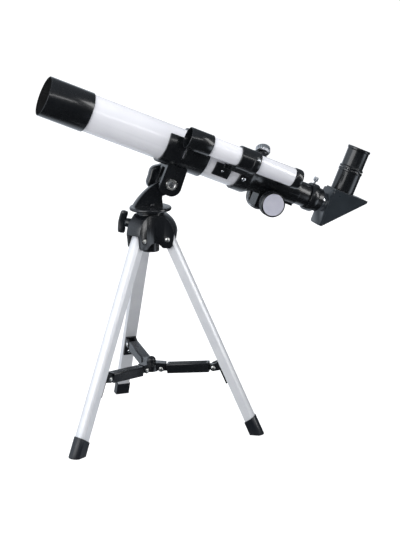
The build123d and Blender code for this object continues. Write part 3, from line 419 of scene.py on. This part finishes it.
def rounded(outline, radius, steps=3):
    """The closed outline with each corner off the axis replaced by a small arc."""
    result = []
    count = len(outline)
    for index, corner in enumerate(outline):
        here = Vector(corner)
        before, after = Vector(outline[index - 1]) - here, Vector(outline[(index + 1) % count]) - here
        if corner[1] < 0.01 or min(before.length, after.length) < 1e-6:
            result.append(tuple(here))
            continue
        reach = min(radius, 0.45 * before.length, 0.45 * after.length)
        first, last = here + before.normalized() * reach, here + after.normalized() * reach
        for step in range(steps + 1):
            share = step / steps
            point = first * (1 - share) ** 2 + here * 2 * share * (1 - share) + last * share ** 2
            result.append(tuple(point))
    return result


def knurl(count, depth, low, high, least_radius, sharpness=1.0):
    """Ridges round a rim: the radius dips count times between two distances."""

    def shape(distance, radius, angle):
        if low <= distance <= high and radius >= least_radius:
            radius -= depth * abs(math.sin(count * angle / 2)) ** sharpness
        return distance, radius

    return shape


def build_focus_knobs():
    """Both focus knobs: a knurled black rim round a plain hub, with a recess for the cap."""
    outline = rounded([(11.3, 2.52), (28.0, 2.52), (28.0, 0.0), (29.8, 0.0), (29.8, 14.25), (31.0, 14.25),
                       (31.0, 15.2), (30.0, 16.2), (20.4, 16.2), (19.0, 15.0), (19.0, 13.5), (25.0, 13.5),
                       (25.0, 5.0), (11.3, 5.0)], 0.4)
    for node, side in (("focus_knob_near", -1), ("focus_knob_far", 1)):
        knob = lathe(node + "_turned", outline, PINION_CENTRE, ACROSS * side, finish_of(node), segments=432,
                     shape=knurl(72, 0.42, 20.6, 29.9, 15.9))
        stand_in(knob, node)


def build_finder_knob():
    """The finder's adjusting knob: a chrome head with deep coarse flutes and a dished end."""
    outline = rounded([(12.06, 0.0), (12.06, 2.0), (21.0, 2.0), (21.0, 6.4), (22.2, 9.4), (28.2, 9.4),
                       (29.4, 8.0), (29.0, 5.0), (28.4, 0.0)], 0.5)
    knob = lathe("finder_knob_turned", outline, at(FINDER_KNOB_STATION) + FINDER_OFFSET, round_tube(45),
                 finish_of("finder_knob"), segments=216, shape=knurl(20, 0.55, 21.6, 28.9, 8.4, 2.0))
    stand_in(knob, "finder_knob")


def build_thumbscrew():
    """The drawtube's thumbscrew: a thin shank and a small knurled head."""
    outline = rounded([(12.4, 0.0), (12.4, 1.5), (21.4, 1.5), (21.4, 2.5), (22.2, 3.2), (26.4, 3.2),
                       (27.2, 2.3), (27.2, 0.0)], 0.25)
    screw = lathe("drawtube_thumbscrew_turned", outline, at(THUMBSCREW_STATION), UPRIGHT,
                  finish_of("drawtube_thumbscrew"), shape=knurl(24, 0.22, 22.2, 26.6, 3.0))
    stand_in(screw, "drawtube_thumbscrew")


def build_altitude_knob():
    """The altitude clamp's star knob: six shallow finger lobes on a dished disc with a raised hub."""
    outline = rounded([(13.1, 4.02), (27.2, 4.02), (27.2, 0.0), (29.2, 0.0), (29.2, 7.0), (27.6, 9.5),
                       (27.6, 13.5), (30.0, 16.0), (30.0, 19.6), (28.0, 22.0), (19.0, 22.0), (17.0, 19.6),
                       (17.0, 14.0), (16.0, 10.0), (13.1, 9.0)], 1.4, 4)

    def lobes(distance, radius, angle):
        """The rim dips between lobes and the disc's middle stays round."""
        weight = min(1.0, max(0.0, (radius - 13.0) / 8.0))
        return distance, radius - weight * (1 - math.cos(STAR_LOBES * (angle + STAR_PHASE)))

    knob = lathe("altitude_knob_turned", outline, PIVOT, ACROSS, finish_of("altitude_knob"),
                 start=Vector((1, 0, 0)), segments=240, shape=lobes)
    stand_in(knob, "altitude_knob")


def build_altitude_nut():
    """The pivot's washer and chamfered hexagon nut, and the end of its bolt."""
    outline = [(13.02, 4.02), (13.02, 6.1), (13.3, 6.4), (14.2, 6.4), (14.5, 6.1), (14.5, 6.9), (14.9, 7.5),
               (17.0, 7.5), (17.6, 6.6), (17.6, 4.8), (17.0, 4.02)]

    def hexagon(distance, radius, angle):
        """Past the washer, the outside is cut to six flats."""
        if distance >= 14.5 and radius > 6.0:
            slant = (angle + math.pi / 6) % (math.pi / 3) - math.pi / 6
            radius = min(radius, NUT_ACROSS_FLATS / 2 / math.cos(slant))
        return distance, radius

    nut = lathe("altitude_nut_turned", outline, PIVOT, -ACROSS, finish_of("altitude_nut"), start=-UPRIGHT,
                shape=hexagon)
    stand_in(nut, "altitude_nut")
    rod = [(-27.0, 0.0), (-27.0, 3.4), (-26.4, 4.0), (16.2, 4.0), (17.0, 3.3), (17.2, 1.8), (17.0, 0.0)]
    bolt = lathe("altitude_bolt_turned", rod, PIVOT, -ACROSS, finish_of("altitude_bolt"), segments=72)
    stand_in(bolt, "altitude_bolt")


def cross_head(origin, out, tip, seat, shank, head, height):
    """A dome-headed screw with a cross recess, as vertices and faces."""
    crown = []
    for step in range(14):
        turn = QUARTER * step / 14
        crown.append((seat + height * math.cos(turn) ** 0.75, head * math.sin(turn)))
    outline = [(seat, head), (seat, shank), (tip, shank), (tip, 0.0)] + crown
    slot_reach, slot_half_width, slot_depth = 0.62 * head, 0.15 * head, 0.62 * height

    def recess(distance, radius, angle):
        """Two crossed slots, deepest in the middle."""
        along, beside = abs(radius * math.cos(angle)), abs(radius * math.sin(angle))
        share = min(max(along, beside) / slot_reach, 1.0)
        if distance > seat + 0.05 and min(along, beside) < slot_half_width and share < 1.0:
            distance -= slot_depth * (1 - share ** 3)
        return distance, radius

    return turning(outline, origin, out, start=UPRIGHT, segments=64, shape=recess)


def build_screws():
    """The focuser collar's, the finder holder's and the finder foot's cross-headed screws."""
    collar = [cross_head(at(COLLAR_STATION), round_tube(angle), 21.6, 26.05, 1.5, 2.9, 1.7)
              for angle in (197, 317, 77)]
    stand_in(gather("collar_screws_turned", collar, finish_of("collar_screws")), "collar_screws")
    holder = at(FINDER_HOLDER_STATION) + FINDER_OFFSET
    finder = [cross_head(holder, round_tube(158), 12.04, 15.05, 1.5, 2.5, 1.5),
              cross_head(at(FINDER_FOOT_STATION), round_tube(197), 23.54, 25.92, 1.2, 1.6, 0.8)]
    stand_in(gather("finder_screws_turned", finder, finish_of("finder_screws")), "finder_screws")


def build_dew_shield():
    """The dew shield: a smooth moulded sleeve with a rolled lip and fine light-trapping rings inside."""
    mouth, bore, ring_count, ring_pitch, ring_depth = -143.0, 23.9, 23, 1.4, 0.45
    outline = [(mouth, 24.0), (mouth + 0.4, bore)]
    for ring in range(ring_count):
        station = mouth + 2.0 + ring * ring_pitch
        outline += [(station, bore), (station + ring_pitch / 2, bore + ring_depth)]
    outline += [(-108.0, bore), (-106.0, 23.55), (-85.4, 23.55), (-85.4, 24.4), (-85.6, 24.8), (-86.1, 25.0),
                (-142.2, 25.0), (-142.7, 24.85), (mouth, 24.5)]
    shield = lathe("dew_shield_turned", outline, at(0), REARWARD, finish_of("dew_shield"), segments=192)
    shield.data.materials.append(MATERIALS["flat_black"])
    inside = (bore + ring_depth + 0.1) * MM
    for face in shield.data.polygons:
        offset = face.center - at(0)
        if (offset - REARWARD * offset.dot(REARWARD)).length < inside:
            face.material_index = 1
    stand_in(shield, "dew_shield")


def superellipse(half_width, half_height, power, steps):
    """Points round a rounded rectangle about the origin."""
    points = []
    for step in range(steps):
        angle = 2 * math.pi * step / steps
        x, y = math.cos(angle), math.sin(angle)
        points.append((math.copysign(abs(x) ** (2 / power) * half_width, x),
                       math.copysign(abs(y) ** (2 / power) * half_height, y)))
    return points


def build_lock_wing():
    """The azimuth lock's thumb wing: a waisted bar with rounded ends on a round hub."""
    side = VERTICAL.cross(LOCK_OUT).normalized()
    rise = LOCK_OUT.cross(side)
    half_length, slices, steps = 15.0, 25, 48
    vertices, faces = [], []
    for index in range(slices):
        share = -1 + 2 * index / (slices - 1)
        end = max(0.0, 1 - abs(share) ** 12) ** 0.5
        half_width = (3.3 + 1.2 * abs(share) ** 1.5) * end
        half_depth = 4.75 * end
        middle = 37.25 + 0.6 * math.cos(math.pi * share) * end - 0.6
        for across, outward in superellipse(half_width, half_depth, 3.2, steps):
            reach = rise * half_length * share + side * across + LOCK_OUT * (middle + outward)
            vertices.append(LOCK_FOOT + reach * MM)
    for index in range(slices - 1):
        for step in range(steps):
            after = (step + 1) % steps
            low, high = index * steps, (index + 1) * steps
            faces.append((low + step, low + after, high + after, high + step))
    hub_outline = [(26.3, 2.55), (33.0, 2.55), (33.0, 4.4), (31.5, 5.6), (27.0, 6.0), (26.3, 5.6)]
    hub = turning(rounded(hub_outline, 0.5), LOCK_FOOT, LOCK_OUT, segments=96)
    wing = gather("lock_wing_moulded", [(vertices, faces), hub], finish_of("lock_wing"))
    stand_in(wing, "lock_wing")


def quarter_round(start, along, radius, steps):
    """Outline points of a quarter ellipse that falls to the axis."""
    points = []
    for step in range(1, steps + 1):
        turn = QUARTER * step / steps
        points.append((start + along * math.sin(turn), radius * math.cos(turn)))
    return points


def build_brace_ribs():
    """Four fine round-ended ribs moulded along the top of each spreader arm."""
    hub_pin, leg_pin = Vector((13.9, 0, 81.5)), Vector((82.5, 0, 87.8))
    rib_radius, top_of_arm = 0.5, 6.15
    run = (leg_pin - hub_pin).normalized()
    rise = Vector((-run.z, 0, run.x))
    first, last = 10.4, (leg_pin - hub_pin).length - 8.9
    far_end = quarter_round(last - rib_radius, rib_radius, rib_radius, 3)
    near_end = [(first + last - distance, radius) for distance, radius in reversed(far_end)]
    outline = near_end + [(first + rib_radius, rib_radius), (last - rib_radius, rib_radius)] + far_end
    for place, azimuth in LEG_AZIMUTHS.items():
        spin = Matrix.Rotation(math.radians(azimuth), 3, "Z")
        ribs = []
        for beside in (-3.6, -1.2, 1.2, 3.6):
            foot = spin @ (hub_pin + rise * top_of_arm + ACROSS * beside) * MM
            ribs.append(turning(outline, foot, spin @ run, segments=16))
        arm = f"brace_arm_{place}"
        go_with(gather(f"brace_ribs_{place}", ribs, finish_of(arm)), arm)


def build_hub_cap():
    """A domed cap on a collar closes the middle of the spreader hub."""
    outline = [(0.0, 0.0), (0.0, 6.4), (1.6, 6.4), (2.2, 6.0), (4.6, 6.0)] + quarter_round(4.6, 5.4, 6.0, 10)
    crown = VERTICAL * 86.4 * MM
    cap = lathe("brace_hub_cap", outline, crown, VERTICAL, finish_of("brace_hub"), segments=64)
    go_with(cap, "brace_hub")


# ---------------------------------------------------------------- studio
# How bright the room is: height of the direction looked in, from and to, then brightness from and to.
ROOM_RISE = (-0.1, 0.8, 0.05, 0.26)
# Bright patches of the room: direction, closeness to it from and to, then brightness from and to.
PATCHES = (
    ((0.70, -0.42, -0.50), 0.93, 0.985, 0.0, 2.0),
    ((0.0, 1.0, 0.10), 0.78, 0.97, 0.0, 0.8),
    ((-0.95, 0.20, 0.12), 0.62, 0.98, 0.0, 1.1),
    ((0.10, 0.75, -0.65), 0.75, 0.97, 0.0, 0.8),
)
# Place, size and power of each lamp.
LAMPS = {
    "key": ((-1.7, -1.0, 1.0), (1.6, 1.8), 26),
    "top": ((-0.1, -0.1, 2.1), (2.4, 2.0), 32),
    "right": ((1.6, -1.0, 0.9), (0.50, 1.4), 13),
    "front": ((0.45, -2.0, 1.30), (1.5, 0.20), 5),
}
LAMP_TARGET = Vector((0.05, 0, 0.28))


def build_floor():
    """A pale floor that curves up behind; the camera sees it brighter than the telescope does."""
    s = Shader("studio_paper")
    fibre = s.noise(3 * MM, detail=6.0)
    tone = s.mix(s.ramp(fibre, 0.3, 0.7), (0.42, 0.42, 0.425), (0.45, 0.45, 0.455))
    seen = s.nodes.new("ShaderNodeLightPath").outputs["Is Camera Ray"]
    paper = s.finish(base_color=tone, roughness=0.85, specular_ior_level=0.0,
                     emission_color=(1.0, 1.0, 1.0), emission_strength=s.math("MULTIPLY", seen, 0.86))
    front, depth, rise, bend, half_width, steps = -3.0, 2.2, 3.0, 0.9, 4.0, 16
    profile = [(front, 0.0)]
    for step in range(steps + 1):
        angle = QUARTER * step / steps
        profile.append((depth + bend * math.sin(angle), bend - bend * math.cos(angle)))
    profile.append((depth + bend, rise))
    vertices = [(x, y, z) for y, z in profile for x in (-half_width, half_width)]
    faces = [(2 * i, 2 * i + 1, 2 * i + 3, 2 * i + 2) for i in range(len(profile) - 1)]
    mesh = bpy.data.meshes.new("studio_floor")
    mesh.from_pydata(vertices, [], faces)
    mesh.polygons.foreach_set("use_smooth", [True] * len(mesh.polygons))
    mesh.materials.append(paper)
    floor = bpy.data.objects.new("studio_floor", mesh)
    floor.visible_glossy = False
    bpy.context.scene.collection.objects.link(floor)


def build_room():
    """The room that glossy parts reflect: pale above, dark below, with patches; the camera sees white."""
    world = bpy.data.worlds.new("studio")
    world.use_nodes = True
    nodes, links = world.node_tree.nodes, world.node_tree.links

    def add(kind, **settings):
        node = nodes.new(kind)
        for key, value in settings.items():
            setattr(node, key, value)
        return node

    direction = add("ShaderNodeTexCoord").outputs["Generated"]
    split = add("ShaderNodeSeparateXYZ")
    links.new(direction, split.inputs[0])
    sky = add("ShaderNodeMapRange")
    links.new(split.outputs["Z"], sky.inputs["Value"])
    limits = ("From Min", "From Max", "To Min", "To Max")
    for key, value in zip(limits, ROOM_RISE):
        sky.inputs[key].default_value = value
    brightness = sky.outputs[0]
    for aim, *rise in PATCHES:
        towards = add("ShaderNodeVectorMath", operation="DOT_PRODUCT")
        links.new(direction, towards.inputs[0])
        towards.inputs[1].default_value = Vector(aim).normalized()
        patch = add("ShaderNodeMapRange", interpolation_type="SMOOTHSTEP")
        links.new(towards.outputs["Value"], patch.inputs["Value"])
        for key, value in zip(limits, rise):
            patch.inputs[key].default_value = value
        both = add("ShaderNodeMath", operation="ADD")
        links.new(brightness, both.inputs[0])
        links.new(patch.outputs[0], both.inputs[1])
        brightness = both.outputs[0]
    background = nodes["Background"]
    background.inputs["Color"].default_value = (0.82, 0.90, 1.0, 1.0)
    links.new(brightness, background.inputs["Strength"])
    plain = add("ShaderNodeBackground")
    plain.inputs["Color"].default_value = (1.0, 1.0, 1.0, 1.0)
    choice = add("ShaderNodeMixShader")
    links.new(add("ShaderNodeLightPath").outputs["Is Camera Ray"], choice.inputs[0])
    links.new(background.outputs[0], choice.inputs[1])
    links.new(plain.outputs[0], choice.inputs[2])
    links.new(choice.outputs[0], nodes["World Output"].inputs["Surface"])
    bpy.context.scene.world = world


def build_lamps():
    """Large soft lights, each aimed at the middle of the telescope; the top one leaves no reflection."""
    for name, (place, size, power) in LAMPS.items():
        lamp = bpy.data.lights.new(name, "AREA")
        lamp.shape = "RECTANGLE"
        lamp.size, lamp.size_y = size
        lamp.energy = power
        light = bpy.data.objects.new(name, lamp)
        light.location = place
        aim = LAMP_TARGET - Vector(place)
        light.rotation_mode = "QUATERNION"
        light.rotation_quaternion = aim.to_track_quat("-Z", "Y")
        light.visible_glossy = name != "top"
        bpy.context.scene.collection.objects.link(light)


def place_camera():
    """The camera stands about 1.75 m off, a little left of square-on and above the tube."""
    target = Vector((0.0598, -0.0185, 0.2160))
    azimuth, elevation, distance = math.radians(-17.2), math.radians(14.56), 1.754
    level = math.cos(elevation)
    back = Vector((math.sin(azimuth) * level, -math.cos(azimuth) * level, math.sin(elevation)))
    lens = bpy.data.cameras.new("camera")
    lens.lens = 93.28
    lens.sensor_width = 36.0
    lens.clip_start = 0.05
    camera = bpy.data.objects.new("camera", lens)
    camera.rotation_mode = "QUATERNION"
    camera.location = target + back * distance
    roll = Matrix.Rotation(math.radians(0.23), 4, "Z").to_quaternion()
    camera.rotation_quaternion = (-back).to_track_quat("-Z", "Y") @ roll
    bpy.context.scene.collection.objects.link(camera)
    bpy.context.scene.camera = camera


paint_frame()
ease_edges()
build_focus_knobs()
build_finder_knob()
build_thumbscrew()
build_altitude_knob()
build_altitude_nut()
build_screws()
build_dew_shield()
build_lock_wing()
build_brace_ribs()
build_hub_cap()
build_floor()
build_room()
build_lamps()
place_camera()
bpy.context.scene.view_settings.view_transform = "Standard"
